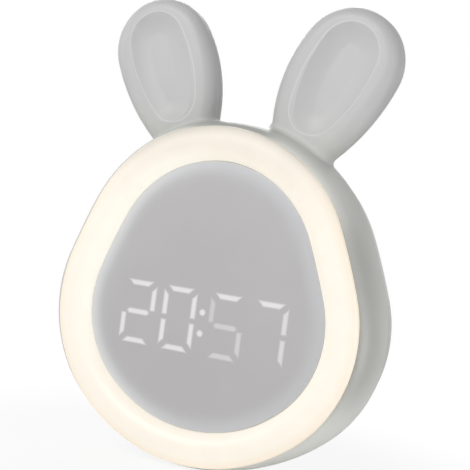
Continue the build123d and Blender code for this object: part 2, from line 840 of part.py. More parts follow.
ribbon_front = main_board_back + connector_height
ribbon_back = control_depth - connector_height
with BuildPart() as ribbon_cable:
    with BuildSketch(Plane.YZ.offset(-ribbon_width / 2)):
        ribbon_turn = (ribbon_front + ribbon_back) / 2 - origin_depth
        with BuildLine():
            FilletPolyline(
                (ribbon_front - origin_depth, face_height + ribbon_low),
                (ribbon_turn, face_height + ribbon_low),
                (ribbon_turn, face_height + ribbon_high),
                (ribbon_back - origin_depth, face_height + ribbon_high),
                radius=ribbon_bend,
            )
        trace(line_width=ribbon_thickness)
    extrude(amount=ribbon_width)
save(ribbon_cable.part, "ribbon_cable")

with BuildPart() as key_switches:
    for x, z in key_places:
        block(x, z, switch_side, switch_side, control_back, control_back + switch_height)
    stem_front = control_back + switch_height
    pin(key_places, stem_radius, stem_front, flange_back - key_flange_thickness - key_travel - fit)
save(key_switches.part, "key_switches")

with BuildPart() as slide_switch:
    block(
        slider_x + slider_travel / 2, slider_z, slide_switch_length, slide_switch_width,
        control_back, control_back + slide_switch_height,
    )
save(slide_switch.part, "slide_switch")

with BuildPart() as usb_socket:
    socket_mouth = back_depth - socket_sink
    block(
        socket_x, slider_z, socket_width, socket_height, control_back, socket_mouth,
        socket_height / 2 - fit,
    )
    block(
        socket_x, slider_z, socket_width - 2 * socket_skin, socket_height - 2 * socket_skin,
        control_back + socket_floor, socket_mouth, socket_height / 2 - fit - socket_skin, Mode.SUBTRACT,
    )
    block(
        socket_x, slider_z, socket_width - socket_height, socket_tongue,
        control_back + socket_floor, socket_mouth - socket_floor,
    )
save(usb_socket.part, "usb_socket")

# ================================================================ keys and slider
for name, place in zip(key_names, key_places):
    with BuildPart() as key:
        block(
            *place, key_length, key_height, flange_back - key_flange_thickness, back_depth + key_proud,
            key_height / 2 - fit,
        )
        chamfer(key.faces().sort_by(Axis.Y)[-1].edges(), key_edge)
        block(
            *place, key_length + 2 * key_flange, key_height + 2 * key_flange,
            flange_back - key_flange_thickness, flange_back, key_height / 2 + key_flange - fit,
        )
    save(key.part, name)

with BuildPart() as power_slider:
    block(
        slider_x, slider_z, slider_length, slider_height,
        control_back + slide_switch_height + clearance, back_depth + slider_proud, slider_round,
    )
    block(
        slider_x, slider_z, slider_plate_length, slider_plate_height,
        flange_back - slider_plate_thickness, flange_back,
    )
save(power_slider.part, "power_slider")

# ================================================================ speaker
speaker_plane = Plane(
    origin=(0, back_inner - origin_depth, face_height + speaker_z), x_dir=(1, 0, 0), z_dir=(0, 0, 1)
)
cone_reach = speaker_radius - speaker_edge
cone_low = clearance - coil_seat
cone_high = clearance - speaker_rim / 2
with BuildPart() as speaker:
    with BuildSketch(speaker_plane):
        with BuildLine():
            Polyline(
                (0, -speaker_depth), (magnet_radius, -speaker_depth), (magnet_radius, -magnet_top),
                (speaker_radius - speaker_slope, -speaker_rim), (speaker_radius, -speaker_rim),
                (speaker_radius, 0), (cone_reach, 0), (cone_reach, -speaker_rim / 2),
                (coil_radius, -coil_seat), (0, -coil_seat), (0, -speaker_depth),
            )
        make_face()
    revolve(axis=Axis(speaker_plane.origin, (0, 1, 0)))
save(speaker.part, "speaker")

with BuildPart() as speaker_cone:
    with BuildSketch(speaker_plane):
        with BuildLine():
            Polyline(
                (coil_radius, cone_low), (cone_reach, cone_high),
                (cone_reach, cone_high + cone_sheet), (coil_radius, cone_low + cone_sheet),
            )
            TangentArc(
                (0, cone_low + cone_dome), (coil_radius, cone_low + cone_sheet), tangent=(1, 0)
            )
            Polyline((0, cone_low + cone_dome), (0, cone_low), (coil_radius, cone_low))
        make_face()
    revolve(axis=Axis(speaker_plane.origin, (0, 1, 0)))
save(speaker_cone.part, "speaker_cone")

# ================================================================ batteries
cell_places = [
    (bay_z + cell_pitch * (i - (cell_count - 1) / 2), 1 if i % 2 else -1) for i in range(cell_count)
]
half_bay = bay_length / 2


def across(z, side, radius, start, length, rotation=90):
    """Round bar along X in the open part, from a distance inside one end of the bay."""
    middle = side * (half_bay - start - length / 2)
    with Locations(Location((middle, cell_depth - origin_depth, face_height + z), (0, rotation, 0))):
        Cylinder(radius, length)


with BuildPart() as battery_cells:
    for z, side in cell_places:
        across(z, -side, cell_radius, contact_thickness + spring_length, cell_length)
        across(z, side, cell_nub_radius, contact_thickness, cell_nub)
save(battery_cells.part, "battery_cells")

with BuildPart() as battery_contacts:
    for z, _ in cell_places:
        with Locations(*[
            (side * (half_bay - contact_thickness / 2), cell_depth - origin_depth, face_height + z)
            for side in (-1, 1)
        ]):
            Box(contact_thickness, contact_side, contact_side)
save(battery_contacts.part, "battery_contacts")

with BuildPart() as battery_springs:
    for z, side in cell_places:
        start = -side * (half_bay - contact_thickness - spring_seat)
        coil_length = spring_length - 2 * spring_seat
        coil_plane = Plane(
            origin=(start, cell_depth - origin_depth, face_height + z), x_dir=(0, 1, 0), z_dir=(side, 0, 0)
        )
        coil = coil_plane * Helix(
            coil_length / spring_turns, coil_length, spring_radius, mode=Mode.PRIVATE
        )
        with BuildSketch(Plane(origin=coil @ 0, x_dir=(0, 1, 0), z_dir=coil % 0)):
            Rectangle(spring_wire, spring_wire)
        sweep(path=coil, is_frenet=True)
save(battery_springs.part, "battery_springs")

# ================================================================ battery door
def hinge_plane(x):
    """Drawing plane across the door's hinge line: first backwards, then up."""
    return Plane(
        origin=(x, bay_back - origin_depth, face_height + hinge_z), x_dir=(0, 1, 0), z_dir=(1, 0, 0)
    )


with BuildPart() as battery_door:
    with BuildSketch(hinge_plane(-door_half_width)):
        door_height = door_top - hinge_z
        with BuildLine():
            Polyline(
                (0, -door_thickness), (0, door_height), (door_thickness, door_height), (door_thickness, 0)
            )
            CenterArc((0, 0), door_thickness, -90, 90)
        make_face()
    extrude(amount=2 * door_half_width)
    outside = battery_door.faces().filter_by(Axis.Y).sort_by(Axis.Y)[-1]
    fillet(outside.edges().sort_by(Axis.Z)[1:], door_edge_round)
    block(
        0, bay_top - latch_gap - latch_thickness / 2, latch_width, latch_thickness,
        bay_back - latch_length, bay_back,
    )
    for i in range(grip_count):
        grip_z = bay_top - latch_length - i * grip_pitch
        block(0, grip_z, grip_width, grip_height, back_depth, back_depth + grip_proud, grip_height / 2 - fit)
    for side in (-1, 1):
        with BuildSketch(hinge_plane(side * door_tab_x - door_tab_width / 2)) as tab:
            with BuildLine():
                Polyline(
                    (0, door_rise), (-door_tab_sink - door_tab_thickness, door_rise),
                    (-door_tab_sink - door_tab_thickness, -door_tab_reach), (-door_tab_sink, -door_tab_reach),
                    (-door_tab_sink, -door_thickness / 2), (0, -door_thickness / 2), (0, door_rise),
                )
            make_face()
        extrude(tab.sketch, amount=door_tab_width)
save(battery_door.part, "battery_door")

# ================================================================ feet and screws
with BuildPart() as rubber_feet:
    feet(foot_radius)
save(rubber_feet.part, "rubber_feet")

with BuildPart() as tray_screws:
    screws(rim_boss_points, tray_back, rim_screw_radius, rim_screw_length, -1)
save(tray_screws.part, "tray_screws")

with BuildPart() as board_screws:
    screws(board_screw_points, main_board_back, rim_screw_radius, board_screw_length, -1)
save(board_screws.part, "board_screws")

with BuildPart() as control_screws:
    screws(control_boss_points, control_depth, rim_screw_radius, board_screw_length, 1)
save(control_screws.part, "control_screws")

with BuildPart() as rear_screws:
    screws(post_points, post_seat, rear_screw_radius, rear_screw_length, -1)
save(rear_screws.part, "rear_screws")
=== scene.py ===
"""Looks of a kids' alarm clock with a lit ring: finishes, small fittings, studio and camera."""
import json
import math

import bpy
from mathutils import Matrix, Vector

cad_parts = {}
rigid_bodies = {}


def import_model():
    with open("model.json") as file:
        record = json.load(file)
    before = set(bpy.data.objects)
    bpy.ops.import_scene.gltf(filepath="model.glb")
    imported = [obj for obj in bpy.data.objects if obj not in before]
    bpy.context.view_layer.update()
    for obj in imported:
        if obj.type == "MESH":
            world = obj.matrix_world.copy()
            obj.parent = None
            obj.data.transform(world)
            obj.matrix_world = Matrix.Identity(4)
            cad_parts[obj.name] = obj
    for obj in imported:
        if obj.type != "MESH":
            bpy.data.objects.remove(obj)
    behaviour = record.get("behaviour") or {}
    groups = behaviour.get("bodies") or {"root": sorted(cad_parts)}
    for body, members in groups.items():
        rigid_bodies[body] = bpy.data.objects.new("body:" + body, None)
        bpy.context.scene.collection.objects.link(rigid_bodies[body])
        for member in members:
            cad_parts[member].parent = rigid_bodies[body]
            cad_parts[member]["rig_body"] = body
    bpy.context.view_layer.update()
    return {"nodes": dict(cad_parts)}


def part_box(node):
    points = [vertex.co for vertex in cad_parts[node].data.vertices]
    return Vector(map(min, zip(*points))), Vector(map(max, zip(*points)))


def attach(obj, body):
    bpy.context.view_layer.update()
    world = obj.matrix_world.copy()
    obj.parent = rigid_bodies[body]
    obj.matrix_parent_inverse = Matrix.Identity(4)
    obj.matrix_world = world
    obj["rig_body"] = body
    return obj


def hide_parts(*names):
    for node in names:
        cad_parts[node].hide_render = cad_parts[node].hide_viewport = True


bl_info = {
    "name": "Kids Alarm Clock Looks",
    "version": (1, 0, 0),
    "blender": (4, 5, 0),
    "location": "3D View > Sidebar > Alarm Clock",
    "description": "Finishes and small fittings of a kids' alarm clock with a lit ring",
    "category": "Object",
}

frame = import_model()
NODES = frame["nodes"]
MM = 0.001


def mm(*values):
    """Millimetres as metres, for a band or a size."""
    return tuple(value * MM for value in values)


# Bands in which a tone comes or goes. UP is the height over the middle of the face, OUT the
# distance outside the panel's or the ring's edge, X and Y the place across and along the clock.
EAR_UP = mm(66, 84)
SEAM_LINE = mm(0.10, 0.22)
# Painted light: the band low on the right that is made lighter, as if lit from the floor
FLOOR_BOUNCE_LIGHT_X = mm(0, 20)
FLOOR_BOUNCE_LIGHT_Y = mm(0, 20)
FLOOR_BOUNCE_LIGHT_UP = mm(-50, -8)
FRONT_Y = mm(-20, -5)
FLANK_X = mm(0, 20)
FLANK_TOP_UP = mm(25, 55)
FLANK_FOOT_UP = mm(-38, -12)
SHOULDER_X = mm(8, 22)
SHOULDER_UP = mm(35, 58)
SHOULDER_OUT = mm(4, 9)
SADDLE_X = mm(12, 26)
SADDLE_UP = mm(66, 71)
SPILL_X = mm(-30, -5)
SPILL_OUT = mm(0.5, 3)
RING_INNER_OUT = mm(0.3, 8.0)
RING_OUTER_OUT = mm(9.0, 13.4)
RING_TOP_UP = mm(30, 74)
RING_CROWN_UP = mm(48, 74)
RING_FOOT_UP = mm(-58, -30)
RING_LEFT_X = mm(-30, 10)
RING_LEFT_UP = mm(-45, 15)
WINDOW_EDGE_OUT = mm(-9, -0.2)
WINDOW_LEFT_OUT = mm(-6, 0.5)
WINDOW_LEFT_X = mm(-42, 8)
FLOOR_FADE = mm(70, 160)
CLOUD = (0.3, 0.7)
GRAIN = (0.2, 0.8)

# Tones as shares of the colour that they belong to
SEAM_TONE = 0.55
# Painted light low on the right, as if from the floor
FLOOR_BOUNCE_LIGHT_TONE = 1.38
# Painted shade on the right flank beside the ring
FLANK_SHADE_TONE = 0.73
# Painted light on the right shoulder between the ring and the ear
SHOULDER_LIGHT_TONE = 1.22
# Painted shade on the top of the body between the ears
SADDLE_SHADE_TONE = 0.73
# Painted highlight along the rim of each ear's dish
RIM_HIGHLIGHT_TONE = 1.14
KEY_TONE = 0.93
TRACK_TONE = 1.7

# Sizes of clouds, marks, grooves and recesses
BODY_CLOUD = 26 * MM
WINDOW_CLOUD = 30 * MM
RING_CLOUD = 9 * MM
KEY_CLOUD = 12 * MM
SMALL_CLOUD = 2.0 * MM
TRACK_PITCH = 2.4 * MM
WIRE_PITCH = 0.5 * MM
CELL_BARE = 2.2 * MM
CELL_BAND = 16 * MM
MARK_LENGTH = 2.4 * MM
MARK_HALF = 0.22 * MM
MARK_BLUR = 0.04 * MM
GROOVE_PITCH = 0.66 * MM
GROOVE_WIDTH = 0.26 * MM
GROOVE_DEPTH = 0.30 * MM
SMALL_CROSS = 2.2 * MM
LARGE_CROSS = 3.4 * MM

# Width and reach of a cross recess as shares of its length
CROSS_WIDTH = 0.22
CROSS_REACH = 0.7

# Doubles lie closer than WELD, a flat face's normal is FLAT or more along one axis, and
# neighbours that meet at less than the angle are shaded smooth
WELD = 1e-6
FLAT = 0.99999
SOFT_ANGLE = math.radians(40)
CRISP_ANGLE = math.radians(30)

# Lit strokes of each digit, with how bright each is, by the digit's place from the colon
LIT = {
    -1.5: {"a": 1.0, "b": 1.0, "g": 0.98, "e": 1.0, "d": 1.0},
    -0.5: {"a": 1.0, "b": 1.0, "c": 1.0, "d": 1.0, "e": 1.0, "f": 1.0},
    0.5: {"a": 1.0, "f": 0.45, "g": 0.55, "c": 0.55, "d": 0.6},
    1.5: {"a": 1.0, "b": 0.8, "c": 0.75},
}
COLON_LIGHT = 1.05

# Place, aim, width and power setting of each lamp
CLOCK_MIDDLE = (0, 0, 0.09)
LAMPS = {
    "key_lamp": ((-0.35, -1.1, 0.75), CLOCK_MIDDLE, 0.8, "key_power"),
    "fill_lamp": ((-0.9, -0.6, 0.35), CLOCK_MIDDLE, 0.9, "fill_power"),
    "back_lamp": ((-0.5, 1.1, 0.8), CLOCK_MIDDLE, 0.8, "back_power"),
    "side_lamp": ((0.7, -0.4, 0.15), CLOCK_MIDDLE, 0.4, "side_power"),
    "low_lamp": ((0.20, -0.07, 0.004), (0.03, 0, 0.06), 0.16, "low_power"),
}


# ---------------------------------------------------------------- settings
class FaceSizes(bpy.types.PropertyGroup):
    """Sizes of the face that the finishes follow"""

    panel_top: bpy.props.FloatProperty(
        name="Panel top", description="Top of the panel above the middle of the face",
        default=59.1 * MM, unit="LENGTH",
    )
    crown_radius: bpy.props.FloatProperty(
        name="Crown radius", description="Arc over the top of the panel",
        default=44.3 * MM, unit="LENGTH",
    )
    side_radius: bpy.props.FloatProperty(
        name="Side radius", description="Nearly straight arc down the side",
        default=255 * MM, unit="LENGTH",
    )
    cheek_radius: bpy.props.FloatProperty(
        name="Cheek radius", description="Arc round the lower corner",
        default=41.6 * MM, unit="LENGTH",
    )
    crown_turn: bpy.props.FloatProperty(
        name="Crown turn", description="Turn of the crown arc",
        default=math.radians(66), subtype="ANGLE",
    )
    side_turn: bpy.props.FloatProperty(
        name="Side turn", description="Turn of the side arc",
        default=math.radians(5.5), subtype="ANGLE",
    )
    cheek_turn: bpy.props.FloatProperty(
        name="Cheek turn", description="Turn of the cheek arc",
        default=math.radians(66), subtype="ANGLE",
    )
    ring_width: bpy.props.FloatProperty(
        name="Ring width", description="From the panel's edge to the ring's outer edge",
        default=13.5 * MM, unit="LENGTH",
    )
    digit_width: bpy.props.FloatProperty(
        name="Digit width", description="Width of one digit", default=14.7 * MM, unit="LENGTH"
    )
    digit_height: bpy.props.FloatProperty(
        name="Digit height", description="Height of one digit", default=25.4 * MM, unit="LENGTH"
    )
    digit_pitch: bpy.props.FloatProperty(
        name="Digit pitch", description="From one digit to the next",
        default=18.3 * MM, unit="LENGTH",
    )
    colon_gap: bpy.props.FloatProperty(
        name="Colon gap", description="Extra space for the colon", default=2.6 * MM, unit="LENGTH"
    )
    colon_rise: bpy.props.FloatProperty(
        name="Colon rise", description="Dots above and below the middle",
        default=4.2 * MM, unit="LENGTH",
    )
    colon_dot: bpy.props.FloatProperty(
        name="Colon dot", description="Radius of a dot", default=1.2 * MM, unit="LENGTH"
    )
    stroke: bpy.props.FloatProperty(
        name="Stroke", description="Width of a digit's stroke", default=1.95 * MM, unit="LENGTH"
    )
    corner_cut: bpy.props.FloatProperty(
        name="Corner cut", description="Bare corner between two strokes",
        default=1.9 * MM, unit="LENGTH",
    )
    stroke_break: bpy.props.FloatProperty(
        name="Stroke break", description="Half the gap between an upper and a lower stroke",
        default=1.15 * MM, unit="LENGTH",
    )
    stroke_blur: bpy.props.FloatProperty(
        name="Stroke blur", description="How softly the window shows a stroke's edge",
        default=0.55 * MM, unit="LENGTH",
    )


class DishSizes(bpy.types.PropertyGroup):
    """Sizes of the dish in each ear, which place the painted highlight along its rim"""

    place: bpy.props.FloatVectorProperty(
        name="Place", description="Middle of the dish beside and above the middle of the face",
        size=2, default=(40.94 * MM, 103.79 * MM), unit="LENGTH",
    )
    lean: bpy.props.FloatProperty(
        name="Lean", description="Outward lean of the dish",
        default=math.radians(26.1), subtype="ANGLE",
    )
    top: bpy.props.FloatProperty(
        name="Top", description="Top of the dish above its middle",
        default=15.0 * MM, unit="LENGTH",
    )
    crown_radius: bpy.props.FloatProperty(
        name="Crown radius", description="Arc over the top of the dish",
        default=12.2 * MM, unit="LENGTH",
    )
    side_radius: bpy.props.FloatProperty(
        name="Side radius", description="Arc down the side of the dish",
        default=60 * MM, unit="LENGTH",
    )
    crown_turn: bpy.props.FloatProperty(
        name="Crown turn", description="Turn of the crown arc",
        default=math.radians(80), subtype="ANGLE",
    )
    side_turn: bpy.props.FloatProperty(
        name="Side turn", description="Turn of the side arc",
        default=math.radians(30), subtype="ANGLE",
    )
    # The painted highlight along the dish's rim is this wide
    rim_width: bpy.props.FloatProperty(
        name="Rim width", description="Width of the lighter line along the dish's rim",
        default=0.5 * MM, unit="LENGTH",
    )


class Finishes(bpy.types.PropertyGroup):
    """Colours of the clock"""

    shell: bpy.props.FloatVectorProperty(
        name="Shell", description="Colour of the housings", subtype="COLOR", size=3,
        default=(0.540, 0.546, 0.516),
    )
    ear: bpy.props.FloatVectorProperty(
        name="Ear", description="Colour of the ears", subtype="COLOR", size=3,
        default=(0.542, 0.541, 0.543),
    )
    window: bpy.props.FloatVectorProperty(
        name="Window", description="Colour of the display panel", subtype="COLOR", size=3,
        default=(0.490, 0.480, 0.485),
    )
    # Painted light from the ring along the panel's edge
    window_ring_light: bpy.props.FloatVectorProperty(
        name="Window edge", description="Lighter band along the panel's edge",
        subtype="COLOR", size=3, default=(0.57, 0.58, 0.60),
    )
    # Painted light from the ring, stronger along the left edge
    window_left_ring_light: bpy.props.FloatVectorProperty(
        name="Window left edge", description="Still lighter band along the left edge",
        subtype="COLOR", size=3, default=(0.72, 0.725, 0.72),
    )
    digits: bpy.props.FloatVectorProperty(
        name="Digits", description="Light of the digits through the window",
        subtype="COLOR", size=3, default=(0.31, 0.30, 0.31),
    )
    ring: bpy.props.FloatVectorProperty(
        name="Ring", description="Light of the ring", subtype="COLOR", size=3,
        default=(0.775, 0.712, 0.605),
    )
    ring_edge: bpy.props.FloatVectorProperty(
        name="Ring edge", description="Warmer light along the ring's outer edge",
        subtype="COLOR", size=3, default=(0.76, 0.645, 0.505),
    )
    ring_inner: bpy.props.FloatVectorProperty(
        name="Ring inner edge", description="Light along the ring's inner edge",
        subtype="COLOR", size=3, default=(0.79, 0.735, 0.62),
    )
    ring_left: bpy.props.FloatVectorProperty(
        name="Ring inner left", description="Brighter light along the inner edge on the left",
        subtype="COLOR", size=3, default=(0.87, 0.84, 0.74),
    )
    ring_top: bpy.props.FloatVectorProperty(
        name="Ring top", description="Dimmer light at the top of the ring", subtype="COLOR", size=3,
        default=(0.60, 0.535, 0.445),
    )
    ring_crown: bpy.props.FloatVectorProperty(
        name="Ring crown", description="Dimmest light, at the outer edge over the top",
        subtype="COLOR", size=3, default=(0.41, 0.37, 0.31),
    )
    spill: bpy.props.FloatVectorProperty(
        name="Spill", description="Housing just outside the ring where its light spills over",
        subtype="COLOR", size=3, default=(0.86, 0.82, 0.74),
    )


class Studio(bpy.types.PropertyGroup):
    """Camera and lamps"""

    azimuth: bpy.props.FloatProperty(
        name="Azimuth", description="Camera's place round the clock",
        default=math.radians(24.0), subtype="ANGLE",
    )
    elevation: bpy.props.FloatProperty(
        name="Elevation", description="Camera's height over the clock",
        default=math.radians(1.386), subtype="ANGLE",
    )
    roll: bpy.props.FloatProperty(
        name="Roll", description="Camera's turn about its own axis",
        default=math.radians(7.612), subtype="ANGLE",
    )
    distance: bpy.props.FloatProperty(
        name="Distance", description="From the aim to the camera", default=0.4147, unit="LENGTH"
    )
    aim: bpy.props.FloatVectorProperty(
        name="Aim", description="Point that the camera looks at",
        subtype="TRANSLATION", size=3, default=(0.00743, -0.01583, 0.09460),
    )
    lens: bpy.props.FloatProperty(
        name="Lens", description="Focal length", default=80.36, unit="CAMERA"
    )
    key_power: bpy.props.FloatProperty(
        name="Key power", description="Large lamp over the front", default=7.8, unit="POWER"
    )
    fill_power: bpy.props.FloatProperty(
        name="Fill power", description="Soft lamp from the left", default=1.8, unit="POWER"
    )
    back_power: bpy.props.FloatProperty(
        name="Back power", description="Soft lamp behind the clock", default=6.0, unit="POWER"
    )
    low_power: bpy.props.FloatProperty(
        name="Low power", description="Soft lamp low on the right", default=0.18, unit="POWER"
    )
    side_power: bpy.props.FloatProperty(
        name="Side power", description="Soft lamp from the right", default=0.6, unit="POWER"
    )
    sky: bpy.props.FloatProperty(
        name="Sky", description="Even light from all round", default=0.28
    )


def face():
    return bpy.context.scene.clock_face


def dish():
    return bpy.context.scene.clock_dish


def finishes():
    return bpy.context.scene.clock_finishes


def studio():
    return bpy.context.scene.clock_studio


# ---------------------------------------------------------------- shader maths
class Signal:
    """A shader socket that takes part in Python expressions."""

    def __init__(self, paint, socket):
        self.paint = paint
        self.socket = socket

    def __add__(self, other):
        return self.paint.maths("ADD", self, other)

    def __sub__(self, other):
        return self.paint.maths("SUBTRACT", self, other)

    def __rsub__(self, other):
        return self.paint.maths("SUBTRACT", other, self)

    def __mul__(self, other):
        return self.paint.maths("MULTIPLY", self, other)

    def __truediv__(self, other):
        return self.paint.maths("DIVIDE", self, other)

    def __rtruediv__(self, other):
        return self.paint.maths("DIVIDE", other, self)

    __radd__ = __add__
    __rmul__ = __mul__

    def __neg__(self):
        return self * -1.0

    def __abs__(self):
        return self.paint.maths("ABSOLUTE", self)

    def above(self, other):
        return self.paint.maths("GREATER_THAN", self, other)

    def larger(self, other):
        return self.paint.maths("MAXIMUM", self, other)

    def smaller(self, other):
        return self.paint.maths("MINIMUM", self, other)


class Paint:
    """One material and the nodes that it is made of."""

    def __init__(self, name):
        self.material = bpy.data.materials.new(name)
        self.material.use_nodes = True
        self.tree = self.material.node_tree
        self.tree.nodes.clear()
        self.shader = self.add("ShaderNodeBsdfPrincipled")
        self.output = self.add("ShaderNodeOutputMaterial")
        self.tree.links.new(self.shader.outputs["BSDF"], self.output.inputs["Surface"])

    def add(self, kind, settings=None, inputs=None):
        """Add a node: its settings first, then the values or links of its sockets."""
        node = self.tree.nodes.new(kind)
        for name, value in (settings or {}).items():
            setattr(node, name, value)
        for name, value in (inputs or {}).items():
            self.feed(node.inputs[name], value)
        return node

    def feed(self, socket, value):
        if isinstance(value, Signal):
            self.tree.links.new(value.socket, socket)
        elif socket.type == "RGBA":
            red, green, blue = value
            socket.default_value = (red, green, blue, 1.0)
        else:
            socket.default_value = value

    def signal(self, node, output=0):
        return Signal(self, node.outputs[output])

    def maths(self, operation, *values):
        node = self.add("ShaderNodeMath", {"operation": operation}, dict(enumerate(values)))
        return self.signal(node)

    def place(self):
        """Object coordinates as three signals, in metres."""
        split = self.add("ShaderNodeSeparateXYZ", None, {0: self.spot()})
        return [self.signal(split, axis) for axis in range(3)]

    def spot(self):
        """Object coordinates as one vector."""
        return self.signal(self.add("ShaderNodeTexCoord"), "Object")

    def noise(self, size, detail):
        """Noise whose marks are about as large as size, in metres."""
        node = self.add(
            "ShaderNodeTexNoise", {"noise_dimensions": "3D"},
            {"Vector": self.spot(), "Scale": 1.0 / size, "Detail": detail, "Roughness": 0.5},
        )
        return self.signal(node, "Fac")

    def ramp(self, value, band, start=0.0, end=1.0):
        """Smooth step from start to end while the signal crosses the band."""
        low, high = band
        node = self.add(
            "ShaderNodeMapRange", {"interpolation_type": "SMOOTHSTEP", "clamp": True},
            {"Value": value, "From Min": low, "From Max": high, "To Min": start, "To Max": end},
        )
        return self.signal(node)

    def fall(self, value, band, start=1.0):
        """Smooth step from start to nothing while the signal crosses the band."""
        return self.ramp(value, band, start, 0.0)

    def mix(self, share, first, second):
        """Colour between two others."""
        share_socket, first_socket, second_socket, result = 0, 6, 7, 2
        settings = {"data_type": "RGBA", "blend_type": "MIX", "clamp_factor": True}
        inputs = {share_socket: share, first_socket: first, second_socket: second}
        return self.signal(self.add("ShaderNodeMix", settings, inputs), result)

    def bump(self, height, strength, distance):
        """Small height over the surface, in metres where it is 1."""
        inputs = {"Height": height, "Strength": strength, "Distance": distance}
        node = self.add("ShaderNodeBump", None, inputs)
        self.feed(self.shader.inputs["Normal"], self.signal(node, "Normal"))

    def set(self, **inputs):
        """Feed the shader's sockets; an underscore stands for a space in their names."""
        for name, value in inputs.items():
            self.feed(self.shader.inputs[name.replace("_", " ")], value)
        return self


def shade(colour, factor):
    """A colour made lighter or darker."""
    return [channel * factor for channel in colour]


# ---------------------------------------------------------------- face geometry
def face_middle():
    """Height of the middle of the face above the table."""
    _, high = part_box("display_panel")
    return high.z - face().panel_top


def seam_depth():
    """Where the two housings meet, along Y."""
    _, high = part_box("front_housing")
    return high.y


def egg_distance(paint, across, up, sizes, top):
    """Distance outside an egg of tangent arcs that start at its top and are mirrored about up."""
    across = abs(across)
    radii = [sizes.crown_radius, sizes.side_radius]
    turns = [sizes.crown_turn, sizes.side_turn]
    if hasattr(sizes, "cheek_radius"):
        radii.append(sizes.cheek_radius)
        turns.append(sizes.cheek_turn)
    middle = Vector((0, top - radii[0]))
    middles = [middle]
    heading = 0.0
    for number, turn in enumerate(turns):
        heading += turn
        direction = Vector((math.sin(heading), math.cos(heading)))
        if number + 1 == len(radii):
            # The last arc closes the egg, so its middle lies on the axis.
            foot = middle + direction * radii[number]
            radii.append(foot.x / math.sin(heading))
            middle = foot - direction * radii[-1]
        else:
            middle = middle + direction * (radii[number] - radii[number + 1])
        middles.append(middle)
    distance = None
    heading = 0.0
    for middle, radius, turn in zip(middles, radii, turns + [0.0]):
        side = across - middle.x
        height = up - middle.y
        here = paint.maths("SQRT", side * side + height * height) - radius
        if distance is None:
            distance = here
        else:
            beyond = paint.maths("ARCTAN2", side, height).above(heading)
            distance = distance + (here - distance) * beyond
        heading += turn
    return distance


def edge_distance(paint):
    """Distance outside the panel's edge."""
    x, _, z = paint.place()
    return egg_distance(paint, x, z - face_middle(), face(), face().panel_top)


def dish_distance(paint):
    """Distance outside the rim of the dish in each ear."""
    sizes = dish()
    x, _, z = paint.place()
    across = abs(x) - sizes.place[0]
    up = z - (face_middle() + sizes.place[1])
    cosine, sine = math.cos(sizes.lean), math.sin(sizes.lean)
    return egg_distance(
        paint, across * cosine - up * sine, across * sine + up * cosine, sizes, sizes.top
    )


# ---------------------------------------------------------------- finishes
def satin(paint, tone):
    """Satin moulded plastic with a fine spark-eroded grain."""
    grain = paint.noise(size=0.35 * MM, detail=2.0)
    paint.bump(grain, strength=0.10, distance=0.02 * MM)
    return paint.set(Base_Color=tone, Roughness=paint.ramp(grain, GRAIN, start=0.38, end=0.46))


def clouded(paint, colour, size, spread, detail=2.0):
    """Colour that is a little lighter and darker from place to place."""
    cloud = paint.ramp(paint.noise(size, detail), CLOUD)
    return paint.mix(cloud, shade(colour, 1 - spread), shade(colour, 1 + spread))


def shell_tone(paint):
    """Colour of the housings: a greener body, painted light low on the right as if from the floor,
    and a darker seam line.
    """
    x, y, z = paint.place()
    colours = finishes()
    up = z - face_middle()
    high = paint.ramp(up, EAR_UP)
    body = clouded(paint, colours.shell, BODY_CLOUD, spread=0.015)
    # Painted light: the lower right of the housings is made lighter, as if lit from the floor below
    floor_bounce_light = paint.ramp(x, FLOOR_BOUNCE_LIGHT_X) * paint.fall(up, FLOOR_BOUNCE_LIGHT_UP) * paint.fall(y, FLOOR_BOUNCE_LIGHT_Y)
    body = paint.mix(floor_bounce_light, body, shade(colours.shell, FLOOR_BOUNCE_LIGHT_TONE))
    ear = clouded(paint, colours.ear, BODY_CLOUD, spread=0.015)
    tone = paint.mix(high, body, ear)
    seam = paint.fall(abs(y - seam_depth()), SEAM_LINE)
    return paint.mix(seam, tone, shade(colours.shell, SEAM_TONE))


def shell_paint():
    """Housing plastic of the pieces behind the seam."""
    paint = Paint("shell_satin")
    return satin(paint, shell_tone(paint))


def front_paint():
    """Housing plastic with painted light and shade round the ring: painted shade down the right
    flank and over the top between the ears, painted light on the right shoulder, the ring's light
    painted as a spill on the left, and a painted highlight along the rim of each dish.
    """
    paint = Paint("shell_satin_front")
    colours = finishes()
    x, y, z = paint.place()
    up = z - face_middle()
    outside = edge_distance(paint) - face().ring_width
    front = paint.fall(y, FRONT_Y)
    # Painted shade down the right flank beside the ring, at mid height, fading towards the seam
    flank_shade = paint.ramp(x, FLANK_X) * paint.fall(up, FLANK_TOP_UP)
    flank_shade = flank_shade * paint.ramp(up, FLANK_FOOT_UP)
    tone = paint.mix(front * flank_shade, shell_tone(paint), shade(colours.shell, FLANK_SHADE_TONE))
    # Painted light on the right shoulder, between the ring and the foot of the ear
    shoulder_light = paint.ramp(x, SHOULDER_X) * paint.ramp(up, SHOULDER_UP)
    shoulder_light = shoulder_light * paint.fall(outside, SHOULDER_OUT)
    tone = paint.mix(front * shoulder_light, tone, shade(colours.shell, SHOULDER_LIGHT_TONE))
    # Painted shade on the top of the body between the ears
    saddle_shade = paint.fall(abs(x), SADDLE_X) * paint.ramp(up, SADDLE_UP)
    tone = paint.mix(front * saddle_shade, tone, shade(colours.shell, SADDLE_SHADE_TONE))
    spill = paint.fall(outside, SPILL_OUT) * paint.fall(x, SPILL_X)
    tone = paint.mix(front * spill, tone, colours.spill)
    # Painted highlight: a lighter line along the rim of each ear's dish
    half = dish().rim_width / 2
    line = paint.fall(abs(dish_distance(paint) - half), (half * 0.6, half * 1.6))
    return satin(paint, paint.mix(line, tone, shade(colours.ear, RIM_HIGHLIGHT_TONE)))


